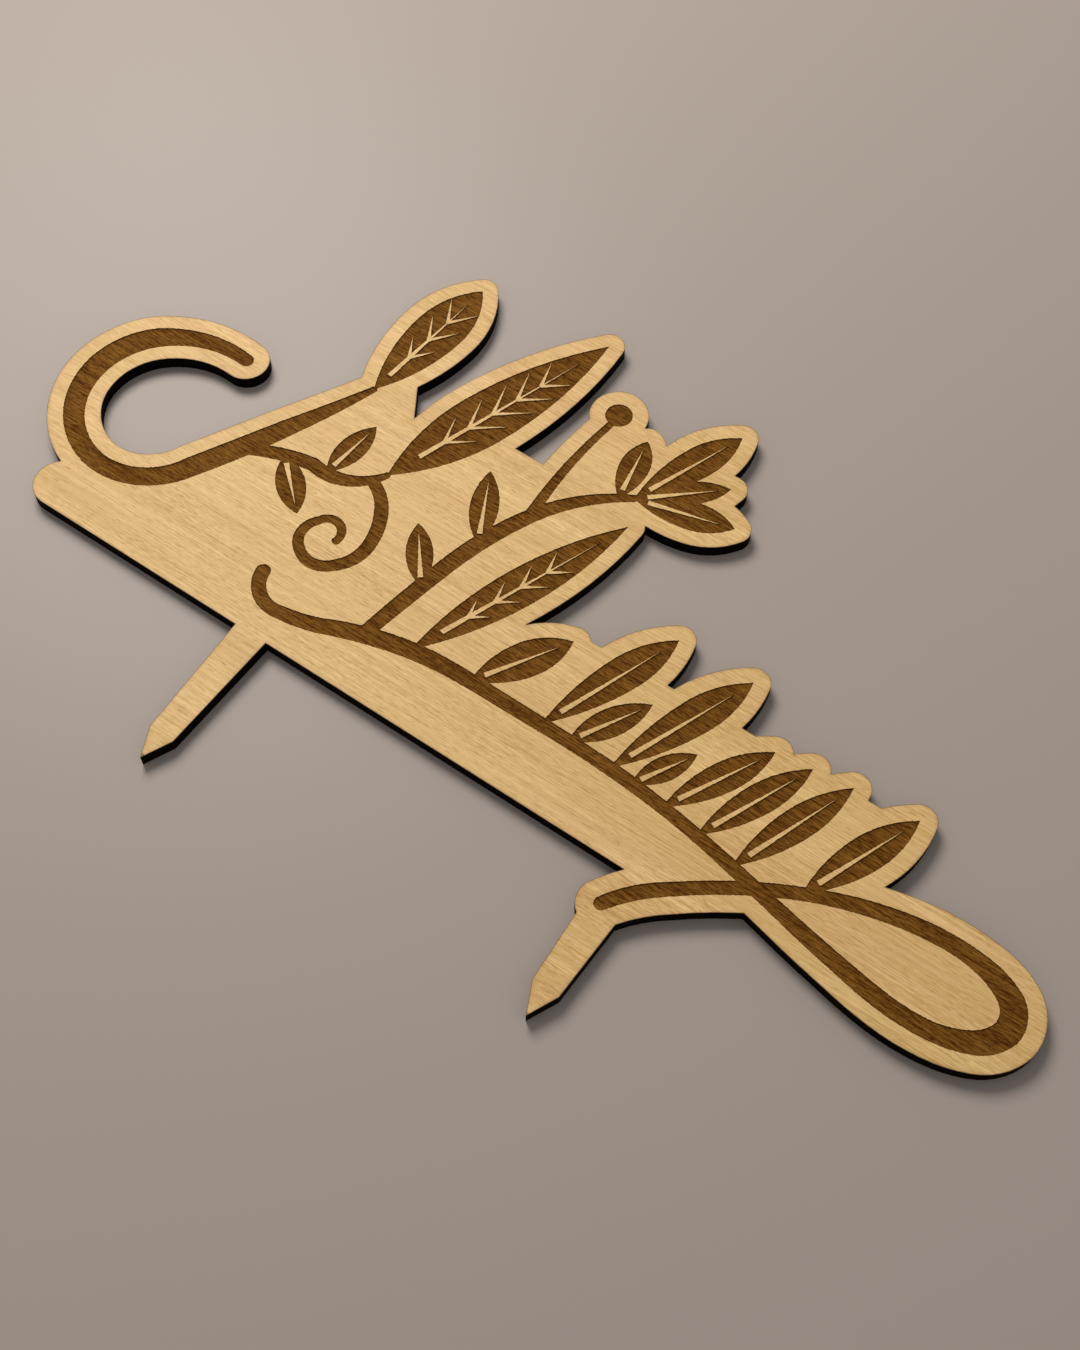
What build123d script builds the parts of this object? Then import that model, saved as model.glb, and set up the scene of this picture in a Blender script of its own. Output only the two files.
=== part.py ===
from build123d import *
from math import radians, sin
import os

# Cake topper, laser cut and engraved in three-ply birch plywood, lying on its back face.
# Millimetres. x runs along the straight base edge, y from the stakes up to the top of the design, and z out
# of the engraved face. The origin is on the back face, on the base edge, midway between the stakes.

# Plywood lay-up
BACK_VENEER = 0.9
CORE_VENEER = 1.0
FACE_VENEER = 0.9
GLUE_LINE = 0.1
ENGRAVING_DEPTH = 0.3

# Cut outline: plain wood left round every engraved stroke, and the straight base that rests on the cake
MARGIN = 3.4
BASE_HEIGHT = 11.0
BASE_LEFT = -98.4
BASE_RIGHT = 46.5

# Stakes
STAKE_SPACING = 88.0
STAKE_WIDTH = 8.0
STAKE_SHOULDER_WIDTH = 5.8
STAKE_LENGTH = 32.7
STAKE_POINT = 6.1

# Scroll: a round hook that runs on into a rising stem
HOOK_TIP = (-87.0, 51.8)
HOOK_TIP_HEADING = 173.0
HOOK_CENTRE = (-93.6, 32.4)
HOOK_RADIUS = 18.6
HOOK_START = 135.0
HOOK_SWEEP = 138.0
RISE_MIDDLE = (-72.9, 35.0)
RISE_END = (-60.1, 61.0)
RISE_HEADING = 67.0
SCROLL_PEN = (3.2, 4.0, 5.2, 5.4, 4.9, 4.4, 4.2, 4.5, 5.0, 5.0, 4.4, 3.2, 1.6)

# Vine: the long stem over the base, its tail loop, and the stroke back to the right stake
VINE_POINTS = [
    (-51.0, 12.6), (-49.2, 8.9), (-42.9, 7.0), (-30.4, 10.6), (-14.4, 15.0), (5.6, 15.8), (27.6, 15.6),
    (47.6, 13.6), (64.6, 10.3), (82.6, 6.6),
]
VINE_HEADINGS = (-80.0, -10.0)
VINE_PEN = (
    3.2, 3.0, 3.1, 3.4, 3.7, 3.9, 3.9, 3.8, 3.6, 3.4, 3.3, 3.2, 3.1,
    3.0, 3.0, 3.0, 2.9, 2.8, 2.8, 2.8, 2.9, 3.0, 3.1, 3.3, 3.4,
)
LOOP_POINTS = [
    (98.0, 4.6), (108.0, 6.2), (113.2, 9.8), (114.5, 13.2), (113.2, 16.9), (108.0, 20.0), (98.0, 21.2),
    (84.6, 19.0),
]
LOOP_HEADING = 195.0
LOOP_PEN = (
    3.4, 3.5, 3.6, 3.6, 3.6, 3.6, 3.7, 4.0, 4.4, 4.8, 5.0,
    5.0, 4.7, 4.3, 3.9, 3.6, 3.5, 3.5, 3.4, 3.3, 3.2,
)
RETURN_POINTS = [(64.6, 10.3), (50.6, 0.4)]
RETURN_PEN = (3.2, 3.0, 2.8, 2.8, 2.8, 2.8, 2.9, 3.0, 2.8)
RETURN_DROP = 7.8
RETURN_OFFSET = 0.8
RETURN_HEADING = -118.0

# Branches, each starting at a share of its stem's length
FORK_SHARE = 0.75
FORK_HEADINGS = (30.0, 66.0)
FORK_POINTS = [(-58.5, 38.6), (-50.5, 39.4), (-44.6, 45.0)]
FORK_PEN = (2.8, 3.2, 3.4, 3.0, 1.6)
SPRIG_SHARE = 0.208
SPRIG_POINTS = [(-22.0, 33.0), (-14.5, 54.0), (0.1, 69.0)]
SPRIG_PEN = (3.2, 3.5, 3.7, 3.7, 3.4, 2.8, 1.8)
STALK_SHARE = 0.66
STALK_POINTS = [(-15.6, 66.0), (-14.6, 76.0), (-13.9, 83.0)]
STALK_PEN = (2.6, 2.0, 1.6)
BERRY_CENTRE = (-13.9, 84.7)
BERRY_RADIUS = 2.9
TENDRIL_SHARE = 0.9
TENDRIL_POINTS = [(-38.5, 34.0), (-38.4, 24.0), (-45.6, 19.6), (-50.6, 25.4), (-46.4, 30.2), (-43.4, 26.6)]
TENDRIL_PEN = (2.6, 2.8, 3.0, 3.0, 3.0, 2.9, 2.7, 2.6, 2.4, 2.3, 2.1, 2.0, 2.0)

# Leaves: place along their stem as a share of its length, heading in degrees, length, width and widest place
SCROLL_LEAVES = [(1.0, 84.5, 35.0, 11.4, 0.6)]
FORK_LEAVES = [(1.0, 70.6, 57.0, 13.2, 0.42), (0.6, 84.0, 15.0, 6.0, 0.5), (0.3, -42.0, 15.0, 6.2, 0.5)]
SPRIG_LEAVES = [
    (1.0, 68.0, 27.4, 7.6, 0.6), (1.0, 41.0, 20.0, 5.6, 0.6), (1.0, 14.5, 21.4, 7.0, 0.6),
    (0.95, 100.0, 15.5, 6.4, 0.55), (0.47, 117.0, 18.0, 6.0, 0.5), (0.24, 128.0, 15.0, 5.6, 0.5),
]
VINE_LEAVES = [
    (0.280, 68.2, 51.6, 8.8, 0.5), (0.378, 58.0, 21.8, 8.0, 0.55), (0.497, 68.8, 32.6, 7.6, 0.62),
    (0.542, 60.0, 18.0, 6.2, 0.5), (0.611, 67.5, 33.4, 7.6, 0.62), (0.648, 60.0, 14.0, 5.2, 0.5),
    (0.701, 62.0, 24.5, 6.4, 0.55), (0.761, 65.5, 26.2, 6.4, 0.55), (0.824, 68.3, 28.4, 6.6, 0.55),
]
RETURN_LEAVES = [(0.27, 66.8, 27.0, 7.2, 0.55)]
VEIN_START = 0.14
VEIN_END = 0.86
VEIN_WIDTH = 1.1
SIDE_VEIN_WIDTH = 0.8
SIDE_VEIN_ANGLE = 34.0
SIDE_VEIN_SPACING = 6.2
SIDE_VEIN_REACH = 0.7
SIDE_VEIN_LEAST_WIDTH = 8.5

# Web of plain wood that joins the strokes
WEB = [
    (-96.0, 8.0), (-78.0, 22.0), (-60.0, 54.0), (-53.6, 68.0), (-48.4, 59.5), (-38.0, 65.5), (2.0, 65.5),
    (-2.0, 26.0), (9.0, 36.2), (78.0, 37.3), (80.0, 22.0), (58.0, 10.0), (46.0, 5.0),
]


def heading_vector(degrees):
    """Unit vector at an angle from the base edge."""
    return Vector(1, 0, 0).rotate(Axis.Z, degrees)


def flowing(points, headings):
    """Smooth curve through points, with given directions at its two ends."""
    return Spline(*points, tangents=headings, tangent_scalars=(1, 1))


def brush(path, pen, grow=0.0):
    """Shape that a broad pen leaves along a path: an odd count of widths, evenly spread, two to an arc."""
    left = []
    right = []
    for step, width in enumerate(pen):
        share = step / (len(pen) - 1)
        across = (path % share).rotate(Axis.Z, 90) * (width / 2 + grow)
        left.append(path @ share + across)
        right.append(path @ share - across)
    first = path @ 0 - path % 0 * (pen[0] / 2 + grow)
    last = path @ 1 + path % 1 * (pen[-1] / 2 + grow)
    with BuildSketch() as stroke:
        with BuildLine():
            for side in (left, right):
                for step in range(0, len(side) - 2, 2):
                    ThreePointArc(*side[step : step + 3])
            ThreePointArc(left[0], first, right[0])
            ThreePointArc(left[-1], last, right[-1])
        make_face()
    return stroke.sketch


def blade(base, heading, length, width, belly):
    """Pointed leaf of four arcs that are level with its axis where it is widest."""
    axis = heading_vector(heading)
    across = axis.rotate(Axis.Z, 90) * (width / 2)
    tip = base + axis * length
    widest = base + axis * (length * belly)
    with BuildSketch() as outline:
        with BuildLine():
            for side in (widest + across, widest - across):
                TangentArc(side, base, tangent=-axis)
                TangentArc(side, tip, tangent=axis)
        make_face()
    return outline.sketch


def vein(root, heading, length, width):
    """Thin rib of plain wood that tapers from its root to a point."""
    axis = heading_vector(heading)
    across = axis.rotate(Axis.Z, 90) * (width / 2)
    with BuildSketch() as rib:
        with BuildLine():
            Polyline(root + across, root + axis * length, root - across, close=True)
        make_face()
    return rib.sketch


def leaf_veins(base, heading, length, width, belly):
    """Rib along the middle of a leaf, with pairs of shorter ribs that branch off it in a broad leaf."""
    axis = heading_vector(heading)
    reach = length * (VEIN_END - VEIN_START)
    ribs = [vein(base + axis * (length * VEIN_START), heading, reach, VEIN_WIDTH)]
    pairs = int(reach / SIDE_VEIN_SPACING) if width > SIDE_VEIN_LEAST_WIDTH else 0
    for pair in range(1, pairs):
        along = length * VEIN_START + pair * SIDE_VEIN_SPACING
        room = belly * length if along < belly * length else (1 - belly) * length
        half_width = width / 2 * (1 - ((along - belly * length) / room) ** 2)
        side_length = half_width * SIDE_VEIN_REACH / sin(radians(SIDE_VEIN_ANGLE))
        for turn in (SIDE_VEIN_ANGLE, -SIDE_VEIN_ANGLE):
            ribs.append(vein(base + axis * along, heading + turn, side_length, SIDE_VEIN_WIDTH))
    return ribs


def stake(centre, top):
    """Tapering stake with a pointed end, from a level down into the cake."""
    shoulder = STAKE_POINT - STAKE_LENGTH
    taper = (STAKE_SHOULDER_WIDTH - STAKE_WIDTH) / shoulder
    half_top = (STAKE_WIDTH + taper * min(top, 0)) / 2
    half_shoulder = STAKE_SHOULDER_WIDTH / 2
    with BuildSketch() as outline:
        with BuildLine():
            Polyline(
                (centre - half_top, top),
                (centre - half_shoulder, shoulder),
                (centre, -STAKE_LENGTH),
                (centre + half_shoulder, shoulder),
                (centre + half_top, top),
                close=True,
            )
        make_face()
    return outline.sketch


# Centre lines of the strokes
with BuildLine() as scroll:
    hook = CenterArc(HOOK_CENTRE, HOOK_RADIUS, HOOK_START, HOOK_SWEEP)
    flowing((HOOK_TIP, hook @ 0), (heading_vector(HOOK_TIP_HEADING), hook % 0))
    flowing((hook @ 1, RISE_MIDDLE, RISE_END), (hook % 1, heading_vector(RISE_HEADING)))
scroll_path = scroll.wire()

with BuildLine() as vine:
    flowing(VINE_POINTS, [heading_vector(angle) for angle in VINE_HEADINGS])
vine_path = vine.wire()

with BuildLine() as tail_loop:
    flowing((vine_path @ 1, *LOOP_POINTS), (vine_path % 1, heading_vector(LOOP_HEADING)))
loop_path = tail_loop.wire()

return_end = (STAKE_SPACING / 2 - RETURN_OFFSET, -RETURN_DROP)
with BuildLine() as loop_return:
    flowing((loop_path @ 1, *RETURN_POINTS, return_end), (loop_path % 1, heading_vector(RETURN_HEADING)))
return_path = loop_return.wire()

with BuildLine() as fork:
    flowing((scroll_path @ FORK_SHARE, *FORK_POINTS), [heading_vector(angle) for angle in FORK_HEADINGS])
fork_path = fork.wire()

with BuildLine() as sprig:
    Spline(vine_path @ SPRIG_SHARE, *SPRIG_POINTS)
sprig_path = sprig.wire()

with BuildLine() as stalk:
    Spline(sprig_path @ STALK_SHARE, *STALK_POINTS)
stalk_path = stalk.wire()

with BuildLine() as tendril:
    Spline(fork_path @ TENDRIL_SHARE, *TENDRIL_POINTS)
tendril_path = tendril.wire()

edge_strokes = [
    (scroll_path, SCROLL_PEN),
    (vine_path, VINE_PEN),
    (loop_path, LOOP_PEN),
    (return_path, RETURN_PEN),
    (sprig_path, SPRIG_PEN),
    (stalk_path, STALK_PEN),
]
inner_strokes = [(fork_path, FORK_PEN), (tendril_path, TENDRIL_PEN)]
leaves = []
for path, rows in (
    (scroll_path, SCROLL_LEAVES),
    (fork_path, FORK_LEAVES),
    (sprig_path, SPRIG_LEAVES),
    (vine_path, VINE_LEAVES),
    (return_path, RETURN_LEAVES),
):
    leaves += [(path @ row[0], *row[1:]) for row in rows]

# Engraved design
with BuildSketch() as engraving:
    for path, pen in edge_strokes + inner_strokes:
        add(brush(path, pen))
    for base, heading, length, width, belly in leaves:
        add(blade(base, heading, length, width, belly))
    with Locations(BERRY_CENTRE):
        Circle(BERRY_RADIUS)
    for base, heading, length, width, belly in leaves:
        add(leaf_veins(base, heading, length, width, belly), mode=Mode.SUBTRACT)

# Cut outline: the strokes grown by the margin, the web, the base and the stakes, with every inner gap filled
with BuildSketch() as grown:
    for path, pen in edge_strokes:
        add(brush(path, pen, MARGIN))
    for base, heading, length, width, belly in leaves:
        add(offset(blade(base, heading, length, width, belly), MARGIN, mode=Mode.PRIVATE))
    with Locations(BERRY_CENTRE):
        Circle(BERRY_RADIUS + MARGIN)
    with BuildLine():
        Polyline(*WEB, close=True)
    make_face()
    with Locations(((BASE_LEFT + BASE_RIGHT) / 2, BASE_HEIGHT / 2)):
        SlotCenterToCenter(BASE_RIGHT - BASE_LEFT, BASE_HEIGHT)
    add(stake(-STAKE_SPACING / 2, BASE_HEIGHT / 2))
    add(stake(STAKE_SPACING / 2, -RETURN_DROP))
with BuildSketch() as sheet:
    with BuildLine():
        add(grown.sketch.faces().sort_by(SortBy.AREA)[-1].outer_wire())
    make_face()

# Layers, from the back face up
back_glue_level = BACK_VENEER
core_level = back_glue_level + GLUE_LINE
front_glue_level = core_level + CORE_VENEER
face_level = front_glue_level + GLUE_LINE
top_level = face_level + FACE_VENEER

with BuildPart() as back_veneer:
    with BuildSketch(Plane.XY):
        add(sheet.sketch)
    extrude(amount=BACK_VENEER)
back_veneer.part.label = "back_veneer"

with BuildPart() as back_glue_line:
    with BuildSketch(Plane.XY.offset(back_glue_level)):
        add(sheet.sketch)
    extrude(amount=GLUE_LINE)
back_glue_line.part.label = "back_glue_line"

with BuildPart() as core_veneer:
    with BuildSketch(Plane.XY.offset(core_level)):
        add(sheet.sketch)
    extrude(amount=CORE_VENEER)
core_veneer.part.label = "core_veneer"

with BuildPart() as front_glue_line:
    with BuildSketch(Plane.XY.offset(front_glue_level)):
        add(sheet.sketch)
    extrude(amount=GLUE_LINE)
front_glue_line.part.label = "front_glue_line"

with BuildPart() as face_veneer:
    with BuildSketch(Plane.XY.offset(face_level)):
        add(sheet.sketch)
    extrude(amount=FACE_VENEER)
    with BuildSketch(Plane.XY.offset(top_level)):
        add(engraving.sketch)
    extrude(amount=-ENGRAVING_DEPTH, mode=Mode.SUBTRACT)
face_veneer.part.label = "face_veneer"

os.makedirs("parts", exist_ok=True)
for layer in (back_veneer, back_glue_line, core_veneer, front_glue_line, face_veneer):
    export_step(layer.part, f"parts/{layer.part.label}.step")
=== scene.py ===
from math import ceil, radians, sqrt

import bpy
import numpy as np
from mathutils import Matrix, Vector, noise
from mathutils.bvhtree import BVHTree
from mathutils.geometry import delaunay_2d_cdt
from mathutils.kdtree import KDTree


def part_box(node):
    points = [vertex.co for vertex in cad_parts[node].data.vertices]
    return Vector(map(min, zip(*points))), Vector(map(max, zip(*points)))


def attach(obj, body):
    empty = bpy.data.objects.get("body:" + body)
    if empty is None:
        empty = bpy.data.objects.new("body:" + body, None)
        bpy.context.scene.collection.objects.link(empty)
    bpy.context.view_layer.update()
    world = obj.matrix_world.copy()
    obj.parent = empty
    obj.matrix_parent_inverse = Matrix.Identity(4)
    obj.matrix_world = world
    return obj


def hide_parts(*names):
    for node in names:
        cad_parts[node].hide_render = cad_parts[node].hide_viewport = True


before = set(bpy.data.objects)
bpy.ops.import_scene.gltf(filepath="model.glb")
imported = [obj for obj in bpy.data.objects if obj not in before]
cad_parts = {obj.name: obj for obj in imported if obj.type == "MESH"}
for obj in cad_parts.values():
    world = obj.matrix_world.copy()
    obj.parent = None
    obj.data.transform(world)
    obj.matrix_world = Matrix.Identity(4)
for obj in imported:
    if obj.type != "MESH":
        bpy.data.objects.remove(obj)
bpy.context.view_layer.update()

# Lengths are in millimetres where nothing else is said, and meshes are made in metres
MM = 0.001

# Mesh: steps along the outlines, spacing of the places inside, and the clear strip beside an outline
CUT_STEP = 0.3
ENGRAVED_STEP = 0.24
FACE_GRID = 0.9
BACK_GRID = 1.3
EDGE_CLEARANCE = 0.34

# Bands of the cut wall in a ply and in a glue line, and the angle of a sharp edge in radians
PLY_BANDS = 3
GLUE_BANDS = 1
SHARP_ANGLE = 0.7

# Tolerances for level faces and for places that merge, and the height that the CAD face is searched from
LEVEL_TOLERANCE = 0.002
MERGE_TOLERANCE = 1e-6
SEARCH_HEIGHT = 20

# Engraving: wander of its edges, rise at the foot of its sides, and a depth that tells it from the face
RAGGED_REACH = 0.1
RAGGED_SPACING = 0.45
RAGGED_SLICE = 3.7
RAGGED_SEED = 7
FOOT_RISE = 0.13
SUNK_DEPTH = 0.2

# Flutes of the cut wall: depth, pitch, and how much they change per millimetre of height
FLUTE_DEPTH = 0.05
FLUTE_PITCH = 0.34
FLUTE_CHANGE = 0.3

# Fibres on the engraved floor, sideways wander of the grain, and how far from an edge all is clean
FIBRE_HEIGHT = 0.09
FIBRE_SIZE = (3.0, 0.8, 9)
GRAIN_WANDER = 2.4
CLEAN_DISTANCE = 9.0

# Table: half its width and its gap below the sheet, in metres
TABLE_REACH = 30.0
TABLE_GAP = 2e-5

# Table colours: near the middle of the lit part, and a paler colour far from it, painted light where the
# lamp no longer reaches
TABLE_MIDDLE = (-200, 150, 0)
NEAR_RADIUS = 400
FAR_RADIUS = 1100
TABLE_NEAR = (0.355, 0.298, 0.26, 1)
TABLE_FAR_PAINTED_LIGHT = (0.78, 0.656, 0.572, 1)

# Light: the key lamp in metres and watts, the light of the room, and the backdrop that is seen
KEY_PLACE = (-0.42, 0.32, 0.56)
KEY_SIZE = 0.4
KEY_POWER = 5.3
KEY_COLOUR = (1.0, 0.985, 0.96)
ROOM_LIGHT = (0.388, 0.392, 0.4, 1)
BACKDROP = (0.303, 0.257, 0.229, 1)

# Camera: place in metres, turn about x, y and z in degrees, lens and sensor, and near limit in metres
CAMERA_PLACE = (0.1018, -0.113, 0.3061)
CAMERA_TURN = (28.8, -0.1, 34.6)
CAMERA_LENS = 48
CAMERA_SENSOR = 36
CAMERA_NEAR = 0.01

# Kinds of face on a layer
WOOD, ENGRAVED, CHARRED = range(3)

# Kind of result that delaunay_2d_cdt gives: only the triangles inside the outlines
INSIDE = 1


def sides(corners):
    """Pairs of corners that follow each other round a face."""
    return zip(corners, corners[1:] + corners[:1])


def ragged(place):
    """Small wander of an engraved edge at a place on the sheet, as the beam leaves it."""
    push = noise.noise_vector(Vector((place[0], place[1], RAGGED_SLICE)) / RAGGED_SPACING)
    return np.array((push.x, push.y)) * RAGGED_REACH


def level_loops(node, level):
    """Closed outlines of a CAD node's level faces at one height, the longest along x first."""
    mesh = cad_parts[node].data
    places = np.zeros(len(mesh.vertices) * 3)
    mesh.vertices.foreach_get("co", places)
    places = np.round(places.reshape(-1, 3) / MM, 4)
    known = {}
    ids = [known.setdefault(tuple(place), len(known)) for place in places]
    points = list(known)
    edges = set()
    for polygon in mesh.polygons:
        corners = [ids[vertex] for vertex in polygon.vertices]
        if all(abs(points[corner][2] - level) < LEVEL_TOLERANCE for corner in corners):
            edges.update(sides(corners))
    follow = {start: end for start, end in edges if (end, start) not in edges}
    loops = []
    while follow:
        start, here = follow.popitem()
        loop = [points[start][:2]]
        while here != start:
            loop.append(points[here][:2])
            here = follow.pop(here)
        loops.append(np.array(loop))
    return sorted(loops, key=lambda loop: np.ptp(loop[:, 0]), reverse=True)


def resampled(loop, step):
    """The same closed outline with every side cut into short steps."""
    finer = []
    for here, there in zip(loop, np.roll(loop, -1, axis=0)):
        count = ceil(np.linalg.norm(there - here) / step)
        finer += [here + (there - here) * (part / count) for part in range(count)]
    return np.array(finer)


def tree_of(points):
    """Search tree over flat places."""
    tree = KDTree(len(points))
    for index, (x, y) in enumerate(points):
        tree.insert((x, y, 0), index)
    tree.balance()
    return tree


def triangulated(loops, inner):
    """Triangles inside the first outline, with every outline kept as edges.

    Gives the places, the triangles, the input place behind each place, and the outlines' edges."""
    places = []
    edges = []
    for loop in loops:
        first = len(places)
        places += [Vector(place) for place in loop]
        edges += [(first + step, first + (step + 1) % len(loop)) for step in range(len(loop))]
    places += [Vector(place) for place in inner]
    result = delaunay_2d_cdt(places, edges, [], INSIDE, MERGE_TOLERANCE)
    points, lines, triangles, sources, line_sources, _ = result
    kept = {frozenset(line) for line, source in zip(lines, line_sources) if source}
    return points, triangles, [source[0] for source in sources], kept


def regions(triangles, kept):
    """Number of the region of each triangle, where the kept edges part the regions."""
    beside = {}
    for index, triangle in enumerate(triangles):
        for side in map(frozenset, sides(triangle)):
            if side not in kept:
                beside.setdefault(side, []).append(index)
    neighbours = [[] for _ in triangles]
    for pair in beside.values():
        if len(pair) == 2:
            neighbours[pair[0]].append(pair[1])
            neighbours[pair[1]].append(pair[0])
    region = [None] * len(triangles)
    for seed in range(len(triangles)):
        front = [seed] if region[seed] is None else []
        while front:
            index = front.pop()
            if region[index] is None:
                region[index] = seed
                front += neighbours[index]
    return region


# Outlines from the CAD sheet, with seeded noise, so that engraved edges wander the same way each run
noise.seed_set(RAGGED_SEED)
face_low, face_high = (corner.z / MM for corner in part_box("face_veneer"))
cut_loop, *engraved_loops = level_loops("face_veneer", round(face_high, 3))
cut = resampled(cut_loop, CUT_STEP)
engraving = [resampled(loop, ENGRAVED_STEP) for loop in engraved_loops]
engraving = [np.array([place + ragged(place) for place in loop]) for loop in engraving]

# Along the cut outline: distance run from its start, and the direction into the sheet
cut_ahead = np.roll(cut, -1, axis=0)
cut_run = np.concatenate(([0], np.cumsum(np.linalg.norm(cut_ahead - cut, axis=1))[:-1]))
cut_along = cut_ahead - np.roll(cut, 1, axis=0)
cut_inward = np.stack((-cut_along[:, 1], cut_along[:, 0]), axis=1)
cut_inward /= np.linalg.norm(cut_inward, axis=1)[:, None]

# Triangles of a plain level face, between steps of the cut outline
_, plain_triangles, plain_sources, _ = triangulated([cut], [])
cut_triangles = [[plain_sources[corner] for corner in triangle] for triangle in plain_triangles]

# Searches over the outlines and the CAD face
cut_tree = tree_of(cut)
engraving_tree = tree_of(np.concatenate(engraving))
face_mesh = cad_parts["face_veneer"].data
face_corners = [vertex.co / MM for vertex in face_mesh.vertices]
face_search = BVHTree.FromPolygons(face_corners, [polygon.vertices for polygon in face_mesh.polygons])


def cut_distance(place):
    """Distance from a place on the sheet to the cut edge."""
    return cut_tree.find((place[0], place[1], 0))[2]


def engraved_distance(place):
    """Distance from a place on the sheet to the nearest engraved edge."""
    return engraving_tree.find((place[0], place[1], 0))[2]


def cad_level(place):
    """Height of the CAD face veneer at a place, or None beside it."""
    above = Vector((place[0], place[1], SEARCH_HEIGHT))
    hit = face_search.ray_cast(above, Vector((0, 0, -1)))[0]
    return hit.z if hit else None


def rim_places():
    """Places in a row just inside the cut edge, wherever the sheet is wide enough."""
    inside = cut + cut_inward * EDGE_CLEARANCE
    return [place for place in inside[::2] if cut_distance(place) > 0.9 * EDGE_CLEARANCE]


def sheet_places(spacing):
    """Places inside the cut edge: a row along it, and an evenly staggered grid clear of that row."""
    places = rim_places()
    low = cut.min(axis=0)
    high = cut.max(axis=0)
    for row, y in enumerate(np.arange(low[1], high[1], spacing * sqrt(3) / 2)):
        for x in np.arange(low[0], high[0], spacing) + (row % 2) * spacing / 2:
            if cut_distance((x, y)) > 2 * EDGE_CLEARANCE and cad_level((x, y)):
                places.append((x, y))
    return places


class Layer:
    """Vertices and faces of one layer of the plywood."""

    def __init__(self):
        self.places = []
        self.faces = []
        self.kinds = []
        self.numbers = {"wall": [], "floor": [], "run": [], "edge_near": []}
        self.inward = []

    def vertex(self, place, level, step=None, floor=0.0, edge_near=CLEAN_DISTANCE):
        """Adds a vertex. On the cut wall, step is its place in the cut outline."""
        on_wall = step is not None
        self.places.append((place[0] * MM, place[1] * MM, level * MM))
        self.numbers["wall"].append(1.0 if on_wall else 0.0)
        self.numbers["run"].append(cut_run[step] if on_wall else 0.0)
        self.numbers["floor"].append(floor)
        self.numbers["edge_near"].append(0.0 if on_wall else edge_near)
        self.inward.append((*cut_inward[step], 0) if on_wall else (0, 0, 0))
        return len(self.places) - 1

    def face(self, corners, kind):
        """Adds a face of one kind."""
        self.faces.append(corners)
        self.kinds.append(kind)

    def ring(self, level):
        """A row of vertices round the cut wall."""
        return [self.vertex(place, level, step) for step, place in enumerate(cut)]

    def wall(self, row, top, bottom, bands):
        """The cut wall below a row, in a few bands. Gives its lowest row."""
        for level in np.linspace(top, bottom, bands + 1)[1:]:
            lower = self.ring(level)
            for step in range(len(cut)):
                after = (step + 1) % len(cut)
                self.face((row[after], row[step], lower[step], lower[after]), CHARRED)
            row = lower
        return row

    def cap(self, row, up):
        """A plain level face that closes a row."""
        for triangle in cut_triangles:
            corners = [row[corner] for corner in triangle]
            self.face(corners if up else corners[::-1], WOOD)

    def mesh(self, name):
        """The layer as a mesh, with its numbers as attributes."""
        mesh = bpy.data.meshes.new(name)
        mesh.from_pydata(self.places, [], self.faces)
        for key, values in self.numbers.items():
            mesh.attributes.new(key, "FLOAT", "POINT").data.foreach_set("value", values)
        inward = mesh.attributes.new("inward", "FLOAT_VECTOR", "POINT")
        inward.data.foreach_set("vector", np.array(self.inward, float).ravel())
        mesh.attributes.new("kind", "INT", "FACE").data.foreach_set("value", self.kinds)
        return mesh


def sunk_triangles(points, triangles, kept):
    """Whether each triangle is engraved. A region is if the CAD face is sunk under most of it."""
    region = regions(triangles, kept)
    sunk_area = dict.fromkeys(region, 0.0)
    for number, triangle in zip(region, triangles):
        first, second, third = (np.array(points[corner]) for corner in triangle)
        middle = (first + second + third) / 3
        level = cad_level(middle - ragged(middle))
        along_x, along_y = second - first
        across_x, across_y = third - first
        area = abs(along_x * across_y - along_y * across_x) / 2
        sunk_area[number] += area if level and level < face_high - SUNK_DEPTH else -area
    return [sunk_area[number] > 0 for number in region]


def face_layer():
    """Face veneer: level top, engraved floor and sides, cut wall."""
    inner = [place for place in sheet_places(FACE_GRID) if engraved_distance(place) > EDGE_CLEARANCE]
    points, triangles, sources, kept = triangulated([cut, *engraving], inner)
    sunk = sunk_triangles(points, triangles, kept)
    floor_level = min(cad_level(place) for place in inner)
    outline_count = len(cut) + sum(len(loop) for loop in engraving)
    layer = Layer()

    def top_vertex(corner):
        """A corner on the level top."""
        place = points[corner]
        step = sources[corner] if sources[corner] < len(cut) else None
        return layer.vertex(place, face_high, step, edge_near=min(cut_distance(place), CLEAN_DISTANCE))

    def floor_vertex(corner):
        """A corner on the engraved floor, which rises at the foot of its sides."""
        place = points[corner]
        near = min(engraved_distance(place), CLEAN_DISTANCE)
        if sources[corner] < outline_count:
            return layer.vertex(place, floor_level + FOOT_RISE, edge_near=near)
        return layer.vertex(place, floor_level, floor=1.0, edge_near=near)

    top_ids = {}
    floor_ids = {}
    sunk_sides = set()
    for triangle, is_sunk in zip(triangles, sunk):
        ids = floor_ids if is_sunk else top_ids
        for corner in triangle:
            if corner not in ids:
                ids[corner] = floor_vertex(corner) if is_sunk else top_vertex(corner)
        layer.face([ids[corner] for corner in triangle], ENGRAVED if is_sunk else WOOD)
        if is_sunk:
            sunk_sides.update((end, start) for start, end in sides(triangle))
    for triangle, is_sunk in zip(triangles, sunk):
        for start, end in sides(triangle):
            if not is_sunk and (start, end) in sunk_sides:
                corners = (top_ids[end], top_ids[start], floor_ids[start], floor_ids[end])
                layer.face(corners, ENGRAVED)
    step_ids = {sources[corner]: index for corner, index in top_ids.items()}
    rim = [step_ids[step] for step in range(len(cut))]
    layer.cap(layer.wall(rim, face_high, face_low, PLY_BANDS), up=False)
    return layer


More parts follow.
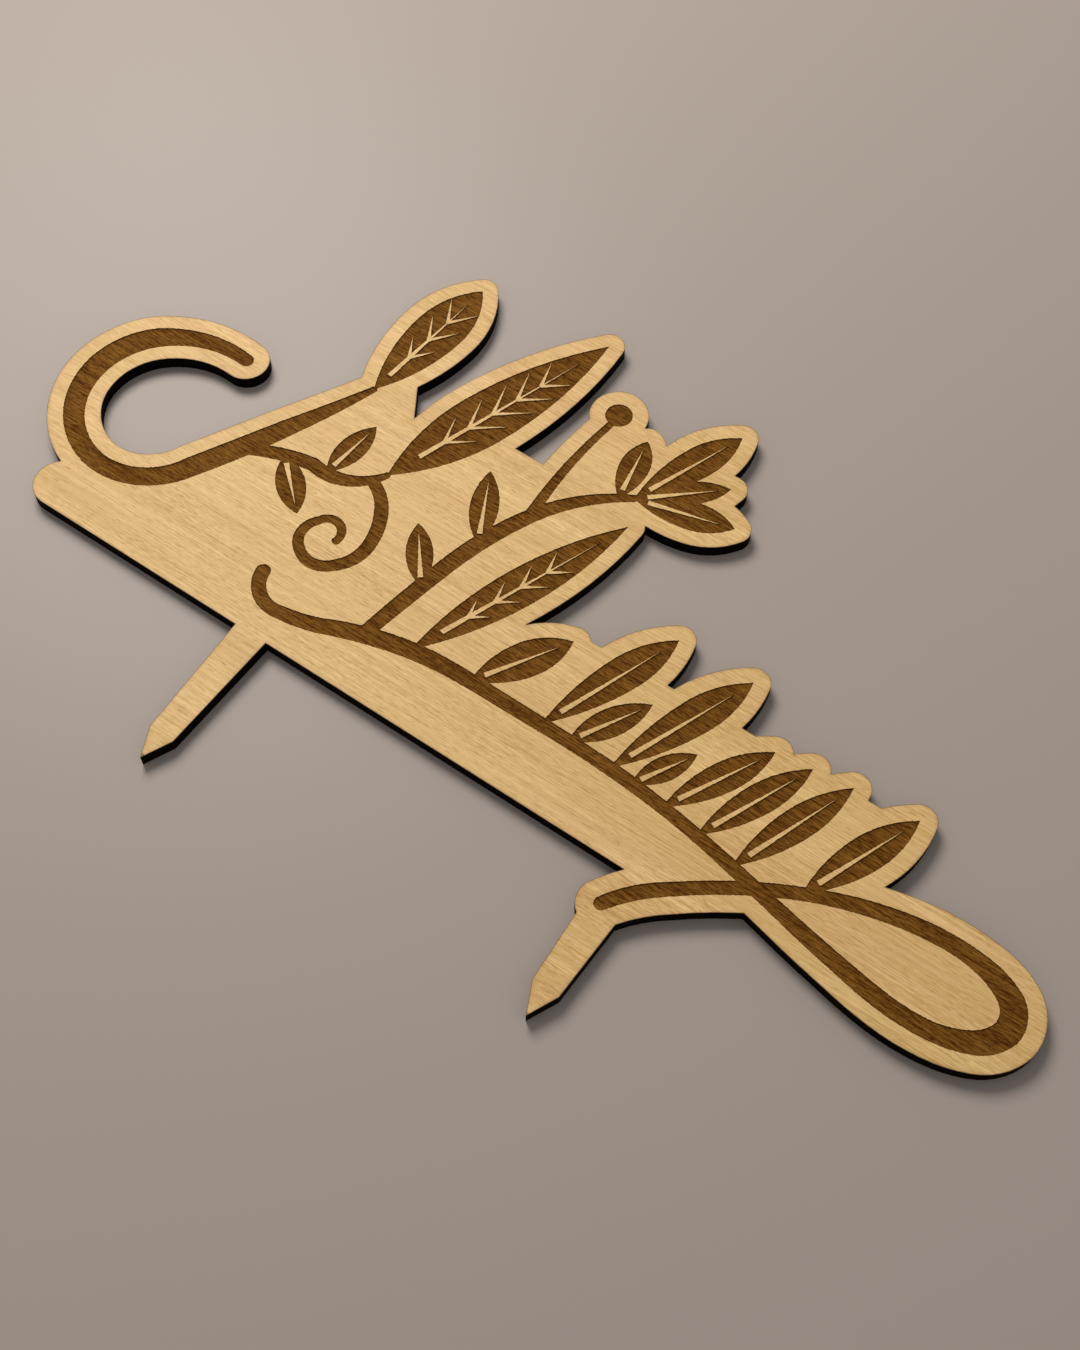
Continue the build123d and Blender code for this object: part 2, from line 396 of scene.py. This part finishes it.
def open_layer(node, bands):
    """A layer's plain top and cut wall, and the lowest row of that wall."""
    bottom, top = (corner.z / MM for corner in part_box(node))
    layer = Layer()
    rim = layer.ring(top)
    lowest = layer.wall(rim, top, bottom, bands)
    layer.cap(rim, up=True)
    return layer, lowest


def inner_layer(node, bands):
    """Layer between two others, of which only the cut wall shows."""
    layer, lowest = open_layer(node, bands)
    layer.cap(lowest, up=False)
    return layer


def back_layer():
    """Back veneer. Its level back is finer, so that the smoke beside the cut can fade."""
    layer, lowest = open_layer("back_veneer", PLY_BANDS)
    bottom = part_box("back_veneer")[0].z / MM
    points, triangles, sources, _ = triangulated([cut], sheet_places(BACK_GRID))
    ids = {}
    for triangle in triangles:
        for corner in triangle:
            if corner not in ids and sources[corner] < len(cut):
                ids[corner] = lowest[sources[corner]]
            elif corner not in ids:
                place = points[corner]
                ids[corner] = layer.vertex(place, bottom, edge_near=cut_distance(place))
        layer.face([ids[corner] for corner in triangle][::-1], WOOD)
    return layer


class Graph:
    """Short ways to add and join nodes in a tree."""

    def __init__(self, tree):
        self.tree = tree
        tree.nodes.clear()

    def node(self, kind, inputs=(), **settings):
        """New node with these settings. An input is joined to a socket, or set to a value."""
        node = self.tree.nodes.new(kind)
        for key, value in settings.items():
            setattr(node, key, value)
        for key, value in dict(inputs).items():
            if isinstance(value, bpy.types.NodeSocket):
                self.tree.links.new(value, node.inputs[key])
            else:
                node.inputs[key].default_value = value
        return node

    def math(self, operation, first, second=0.0):
        """Sum, product or the like of two numbers."""
        inputs = {0: first, 1: second}
        return self.node("ShaderNodeMath", inputs, operation=operation).outputs[0]

    def vector(self, operation, first, second):
        """Sum, product or the like of two vectors."""
        inputs = {0: first, 1: second}
        return self.node("ShaderNodeVectorMath", inputs, operation=operation).outputs[0]

    def combined(self, x=0.0, y=0.0, z=0.0):
        """Vector of three numbers."""
        return self.node("ShaderNodeCombineXYZ", {0: x, 1: y, 2: z}).outputs[0]

    def height(self, place):
        """The z of a place."""
        return self.node("ShaderNodeSeparateXYZ", {0: place}).outputs[2]

    def noise(self, place, scale, detail=2.0, roughness=0.55):
        """Noise over a place in millimetres, stretched so that scale is the size of its cells."""
        stretched = self.vector("DIVIDE", place, scale)
        inputs = {"Vector": stretched, "Scale": 1.0, "Detail": detail, "Roughness": roughness}
        return self.node("ShaderNodeTexNoise", inputs).outputs[0]

    def span(self, value, low, high, to_low=0.0, to_high=1.0):
        """Smooth step of a value from one range to another."""
        inputs = {0: value, 1: low, 2: high, 3: to_low, 4: to_high}
        return self.node("ShaderNodeMapRange", inputs, interpolation_type="SMOOTHSTEP").outputs[0]

    def mix(self, factor, first, second, blend="MIX"):
        """Blend of two colours."""
        inputs = {0: factor, 6: first, 7: second}
        return self.node("ShaderNodeMix", inputs, data_type="RGBA", blend_type=blend).outputs[2]

    def in_mm(self, place):
        """A place in metres, turned to millimetres."""
        return self.vector("MULTIPLY", place, (1 / MM, 1 / MM, 1 / MM))

    def object_place(self):
        """Object coordinates in millimetres."""
        return self.in_mm(self.node("ShaderNodeTexCoord").outputs["Object"])

    def attribute(self, name):
        """A number that the mesh carries."""
        return self.node("ShaderNodeAttribute", attribute_name=name).outputs["Fac"]

    def surface(self, colour, roughness, height, relief, shine):
        """Principled surface with a bump, whose relief is in millimetres."""
        inputs = {"Height": height, "Distance": relief * MM, "Strength": 1.0}
        bump = self.node("ShaderNodeBump", inputs)
        inputs = {"Base Color": colour, "Roughness": roughness, "Normal": bump.outputs[0]}
        shader = self.node("ShaderNodeBsdfPrincipled", inputs)
        shader.inputs["Specular IOR Level"].default_value = shine
        self.node("ShaderNodeOutputMaterial", {"Surface": shader.outputs[0]})


def new_material(name):
    """Material and the graph of its empty node tree."""
    material = bpy.data.materials.new(name)
    material.use_nodes = True
    return material, Graph(material.node_tree)


def new_object(name, data):
    """Object with this data, in the scene."""
    item = bpy.data.objects.new(name, data)
    bpy.context.scene.collection.objects.link(item)
    return item


def sheet_place(graph, offset):
    """Place on the sheet in millimetres, with the grain bent a little as it wanders."""
    place = graph.vector("ADD", graph.object_place(), offset)
    wander = graph.math("SUBTRACT", graph.noise(place, (110, 30, 40)), 0.5)
    wander = graph.math("MULTIPLY", wander, GRAIN_WANDER)
    return graph.vector("ADD", place, graph.combined(y=wander))


def birch(name, offset, scorch, smoke_reach):
    """Pale sanded birch with grain along x.

    Scorch and smoke reach are how dark and how broad the smoke beside the cut edge is."""
    pale = (0.66, 0.428, 0.168, 1)
    deep = (0.59, 0.362, 0.129, 1)
    dark_tint = (0.71, 0.63, 0.43, 1)
    light_tint = (1.27, 1.34, 1.56, 1)
    cool_tint = (0.987, 1.006, 0.972, 1)
    warm_tint = (1.015, 0.994, 1.03, 1)
    smoke_brown = (0.19, 0.085, 0.028, 1)
    burnt_brown = (0.075, 0.032, 0.012, 1)
    burnt_reach = 0.24
    material, graph = new_material(name)
    place = sheet_place(graph, offset)
    silk_place = graph.vector("ADD", place, (13, 41, 7))
    pore_place = graph.vector("ADD", place, (31, 17, 5))
    hue_place = graph.vector("ADD", place, (71, 29, 3))
    broad = graph.noise(place, (150, 13, 30))
    bands = graph.noise(place, (120, 1.6, 30), detail=3.0, roughness=0.6)
    streaks = graph.noise(place, (38, 0.34, 30), detail=3.0, roughness=0.65)
    figure = graph.noise(place, (34, 9, 30))
    patches = graph.noise(place, (9, 6, 9), detail=3.0)
    silk = graph.noise(silk_place, (2.2, 0.18, 30), roughness=0.65)
    pores = graph.noise(pore_place, (2.4, 0.19, 30), detail=1.0)
    warmth = graph.noise(hue_place, (70, 8, 30))

    # Wood: bands and streaks, silk where the figure is strong, and dark pores
    tone = graph.span(bands, 0.2, 0.8, 0.4, 0.6)
    tone = graph.math("ADD", tone, graph.span(streaks, 0.2, 0.8, -0.32, 0.32))
    sheen = graph.span(silk, 0.2, 0.8, -0.34, 0.34)
    sheen = graph.math("MULTIPLY", sheen, graph.span(figure, 0.3, 0.7, 0.4, 1.2))
    tone = graph.math("ADD", tone, sheen)
    tone = graph.math("SUBTRACT", tone, graph.span(pores, 0.62, 0.78, 0.0, 0.5))
    colour = graph.mix(graph.span(broad, 0.3, 0.7), pale, deep)
    colour = graph.mix(1.0, colour, graph.mix(tone, dark_tint, light_tint), "MULTIPLY")
    hue = graph.mix(graph.span(warmth, 0.3, 0.7), cool_tint, warm_tint)
    colour = graph.mix(1.0, colour, hue, "MULTIPLY")

    # Smoke in patches beside the cut edge, and a thin burnt line on it
    near = graph.attribute("edge_near")
    patchy = graph.math("MULTIPLY", graph.span(patches, 0.3, 0.7, 0.3, 1.0), scorch)
    smoke = graph.math("MULTIPLY", graph.span(near, 0.0, smoke_reach, 1.0, 0.0), patchy)
    colour = graph.mix(smoke, colour, smoke_brown)
    colour = graph.mix(graph.span(near, 0.0, burnt_reach, 0.8, 0.0), colour, burnt_brown)

    # Relief of the sanded face
    height = graph.math("ADD", streaks, silk)
    height = graph.math("SUBTRACT", height, graph.span(pores, 0.62, 0.78))
    roughness = graph.span(streaks, 0.2, 0.8, 0.46, 0.62)
    graph.surface(colour, roughness, height, relief=0.022, shine=0.26)
    return material


def engraved(name):
    """Brown floor and sides of the engraving, with burnt fibres and fine lines along the grain, and
    painted shade at the foot of its sides.
    """
    brown = (0.142, 0.0535, 0.0042, 1)
    deep_brown = (0.119, 0.0435, 0.0033, 1)
    dark_tint = (0.47, 0.35, 0.1, 1)
    light_tint = (1.72, 1.98, 3.7, 1)
    foot_shade_brown = (0.045, 0.016, 0.003, 1)
    foot_shade_reach = 0.45
    material, graph = new_material(name)
    place = sheet_place(graph, (11, 5, 2))
    line_place = graph.vector("ADD", place, (3, 9, 8))
    gap_place = graph.vector("ADD", place, (7, 23, 4))
    blotches = graph.noise(place, (9, 3.2, 30), detail=3.0, roughness=0.6)
    fibres = graph.noise(place, (1.9, 0.22, 30), detail=3.0, roughness=0.75)
    lines = graph.noise(line_place, (12, 0.34, 30), detail=1.0)
    gaps = graph.noise(gap_place, (1.6, 0.22, 30), detail=1.0)
    tone = graph.span(fibres, 0.28, 0.72)
    tone = graph.math("ADD", tone, graph.span(lines, 0.3, 0.7, -0.27, 0.27))
    tone = graph.math("SUBTRACT", tone, graph.span(gaps, 0.58, 0.75, 0.0, 0.4))
    colour = graph.mix(graph.span(blotches, 0.3, 0.7), brown, deep_brown)
    colour = graph.mix(1.0, colour, graph.mix(tone, dark_tint, light_tint), "MULTIPLY")
    # Painted shade in the recess: the floor darkens beside the foot of the sides, and the sides darken
    # towards the floor
    near = graph.attribute("edge_near")
    colour = graph.mix(graph.span(near, 0.0, foot_shade_reach, 0.3, 0.0), colour, foot_shade_brown)
    height = graph.math("SUBTRACT", fibres, graph.span(gaps, 0.55, 0.75))
    graph.surface(colour, roughness=0.75, height=height, relief=0.06, shine=0.04)
    return material


def charred(name, black, brown):
    """Burnt cut wall with upright marks of the beam."""
    material, graph = new_material(name)
    along = graph.combined(graph.attribute("run"), graph.height(graph.object_place()))
    marks = graph.noise(along, (0.3, 2.4, 1), detail=3.0, roughness=0.6)
    patches = graph.noise(along, (6.0, 1.2, 1))
    amount = graph.span(patches, 0.3, 0.7, 0.35, 1.0)
    amount = graph.math("MULTIPLY", graph.span(marks, 0.35, 0.75), amount)
    colour = graph.mix(amount, black, brown)
    roughness = graph.span(marks, 0.2, 0.8, 0.55, 0.75)
    graph.surface(colour, roughness, marks, relief=0.05, shine=0.03)
    return material


def laser_finish():
    """Node tree that burns a layer: flutes in the cut wall, fibres on the floor, and its materials."""
    tree = bpy.data.node_groups.new("laser_finish", "GeometryNodeTree")
    graph = Graph(tree)
    tree.interface.new_socket("Geometry", in_out="INPUT", socket_type="NodeSocketGeometry")
    for name in ("Flute Depth", "Flute Pitch", "Fibre Height"):
        tree.interface.new_socket(name, in_out="INPUT", socket_type="NodeSocketFloat")
    for name in ("Wood", "Engraved", "Charred"):
        tree.interface.new_socket(name, in_out="INPUT", socket_type="NodeSocketMaterial")
    tree.interface.new_socket("Geometry", in_out="OUTPUT", socket_type="NodeSocketGeometry")
    given = graph.node("NodeGroupInput").outputs

    def named(name, data_type="FLOAT"):
        """A number or direction that the layer carries."""
        inputs = {"Name": name}
        return graph.node("GeometryNodeInputNamedAttribute", inputs, data_type=data_type).outputs[0]

    place = graph.in_mm(graph.node("GeometryNodeInputPosition").outputs[0])
    step = graph.math("DIVIDE", named("run"), given["Flute Pitch"])
    along = graph.combined(step, graph.math("MULTIPLY", graph.height(place), FLUTE_CHANGE))
    flutes = graph.span(graph.noise(along, (1, 1, 1), roughness=0.6), 0.25, 0.75)
    depth = graph.math("MULTIPLY", flutes, given["Flute Depth"])
    depth = graph.math("MULTIPLY", depth, named("wall"))
    inputs = {0: named("inward", "FLOAT_VECTOR"), 3: depth}
    inset = graph.node("ShaderNodeVectorMath", inputs, operation="SCALE").outputs[0]
    fibres = graph.math("SUBTRACT", graph.noise(place, FIBRE_SIZE), 0.5)
    rise = graph.math("MULTIPLY", fibres, given["Fibre Height"])
    rise = graph.math("MULTIPLY", rise, named("floor"))
    offset = graph.vector("ADD", inset, graph.combined(z=rise))
    inputs = {"Geometry": given["Geometry"], "Offset": offset}
    shape = graph.node("GeometryNodeSetPosition", inputs).outputs[0]
    shape = graph.node("GeometryNodeRealizeInstances", {0: shape}).outputs[0]
    for kind, name in ((WOOD, "Wood"), (ENGRAVED, "Engraved"), (CHARRED, "Charred")):
        inputs = {2: named("kind", "INT"), 3: kind}
        chosen = graph.node("FunctionNodeCompare", inputs, data_type="INT", operation="EQUAL")
        inputs = {"Geometry": shape, "Selection": chosen.outputs[0], "Material": given[name]}
        shape = graph.node("GeometryNodeSetMaterial", inputs).outputs[0]
    graph.node("NodeGroupOutput", {0: shape})
    return tree


def finished(layer, node, materials):
    """Runs the node tree on a layer and puts the piece in the place of its CAD node."""
    raw = new_object(node + "_raw", layer.mesh(node + "_raw"))
    modifier = raw.modifiers.new("finish", "NODES")
    modifier.node_group = finish_tree
    values = [FLUTE_DEPTH * MM, FLUTE_PITCH, FIBRE_HEIGHT * MM, *materials]
    sockets = [item for item in finish_tree.interface.items_tree if item.in_out == "INPUT"][1:]
    for socket, value in zip(sockets, values):
        modifier[socket.identifier] = value
    depsgraph = bpy.context.evaluated_depsgraph_get()
    mesh = bpy.data.meshes.new_from_object(
        raw.evaluated_get(depsgraph), preserve_all_data_layers=True, depsgraph=depsgraph
    )
    bpy.data.objects.remove(raw)
    for name in ("wall", "floor", "inward", "kind"):
        mesh.attributes.remove(mesh.attributes[name])
    mesh.shade_smooth()
    mesh.set_sharp_from_angle(angle=SHARP_ANGLE)
    piece = new_object(node + "_wood", mesh)
    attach(piece, "root")
    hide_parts(node)


def add_table():
    """Plain table under the sheet, with painted light: paler far away, where the lamp no longer reaches.
    """
    mesh = bpy.data.meshes.new("table")
    corners = ((-1, -1), (1, -1), (1, 1), (-1, 1))
    places = [(x * TABLE_REACH, y * TABLE_REACH, -TABLE_GAP) for x, y in corners]
    mesh.from_pydata(places, [], [(0, 1, 2, 3)])
    material, graph = new_material("table_grey")
    place = graph.object_place()
    inputs = {0: place, 1: TABLE_MIDDLE}
    away = graph.node("ShaderNodeVectorMath", inputs, operation="DISTANCE").outputs["Value"]
    # Painted light: the colour turns paler with distance from the middle of the lit part, where the lamp
    # no longer reaches
    colour = graph.mix(graph.span(away, NEAR_RADIUS, FAR_RADIUS), TABLE_NEAR, TABLE_FAR_PAINTED_LIGHT)
    grain = graph.noise(place, (0.5, 0.5, 0.5))
    graph.surface(colour, roughness=0.32, height=grain, relief=0.003, shine=0.09)
    mesh.materials.append(material)
    table = new_object("table", mesh)


def add_key_lamp():
    """Soft round lamp that points at the base edge, midway between the stakes."""
    lamp = bpy.data.lights.new("key", "AREA")
    lamp.shape = "DISK"
    lamp.size = KEY_SIZE
    lamp.energy = KEY_POWER
    lamp.color = KEY_COLOUR
    key = new_object("key", lamp)
    key.location = KEY_PLACE
    key.rotation_euler = key.location.to_track_quat("Z", "Y").to_euler()


def add_room():
    """Even light from all round. What is seen or mirrored of it is the backdrop."""
    world = bpy.data.worlds.new("room")
    world.use_nodes = True
    graph = Graph(world.node_tree)
    rays = graph.node("ShaderNodeLightPath").outputs
    seen = graph.math("MAXIMUM", rays["Is Camera Ray"], rays["Is Glossy Ray"])
    seen = graph.math("MAXIMUM", seen, rays["Is Transmission Ray"])
    colour = graph.mix(seen, ROOM_LIGHT, BACKDROP)
    sky = graph.node("ShaderNodeBackground", {"Color": colour, "Strength": 1.0})
    graph.node("ShaderNodeOutputWorld", {"Surface": sky.outputs[0]})
    bpy.context.scene.world = world


def add_camera():
    """Camera at the photograph's viewing angle."""
    camera_data = bpy.data.cameras.new("camera")
    camera_data.lens = CAMERA_LENS
    camera_data.sensor_width = CAMERA_SENSOR
    camera_data.clip_start = CAMERA_NEAR
    camera = new_object("camera", camera_data)
    camera.location = CAMERA_PLACE
    camera.rotation_euler = [radians(angle) for angle in CAMERA_TURN]
    bpy.context.scene.camera = camera


# Materials
face_wood = birch("birch_face_wood", offset=(0, 0, 0), scorch=0.3, smoke_reach=0.9)
back_wood = birch("birch_back_wood", offset=(57, 140, 0), scorch=0.75, smoke_reach=2.2)
core_wood = birch("birch_core_wood", offset=(211, 35, 0), scorch=0.0, smoke_reach=1.0)
floor_burn = engraved("engraved_brown")
veneer_char = charred("charred_veneer", black=(0.002, 0.0016, 0.0014, 1), brown=(0.011, 0.007, 0.005, 1))
core_char = charred("charred_core", black=(0.0025, 0.0019, 0.0016, 1), brown=(0.016, 0.0095, 0.006, 1))
glue_char = charred("charred_glue", black=(0.0008, 0.0007, 0.0007, 1), brown=(0.003, 0.0022, 0.002, 1))
face_materials = (face_wood, floor_burn, veneer_char)
core_materials = (core_wood, floor_burn, core_char)
back_materials = (back_wood, floor_burn, veneer_char)
glue_materials = (glue_char, glue_char, glue_char)

# Pieces, from the face down
finish_tree = laser_finish()
finished(face_layer(), "face_veneer", face_materials)
finished(inner_layer("front_glue_line", GLUE_BANDS), "front_glue_line", glue_materials)
finished(inner_layer("core_veneer", PLY_BANDS), "core_veneer", core_materials)
finished(inner_layer("back_glue_line", GLUE_BANDS), "back_glue_line", glue_materials)
finished(back_layer(), "back_veneer", back_materials)

# Table, light and camera
add_table()
add_key_lamp()
add_room()
add_camera()
bpy.context.scene.view_settings.view_transform = "Standard"
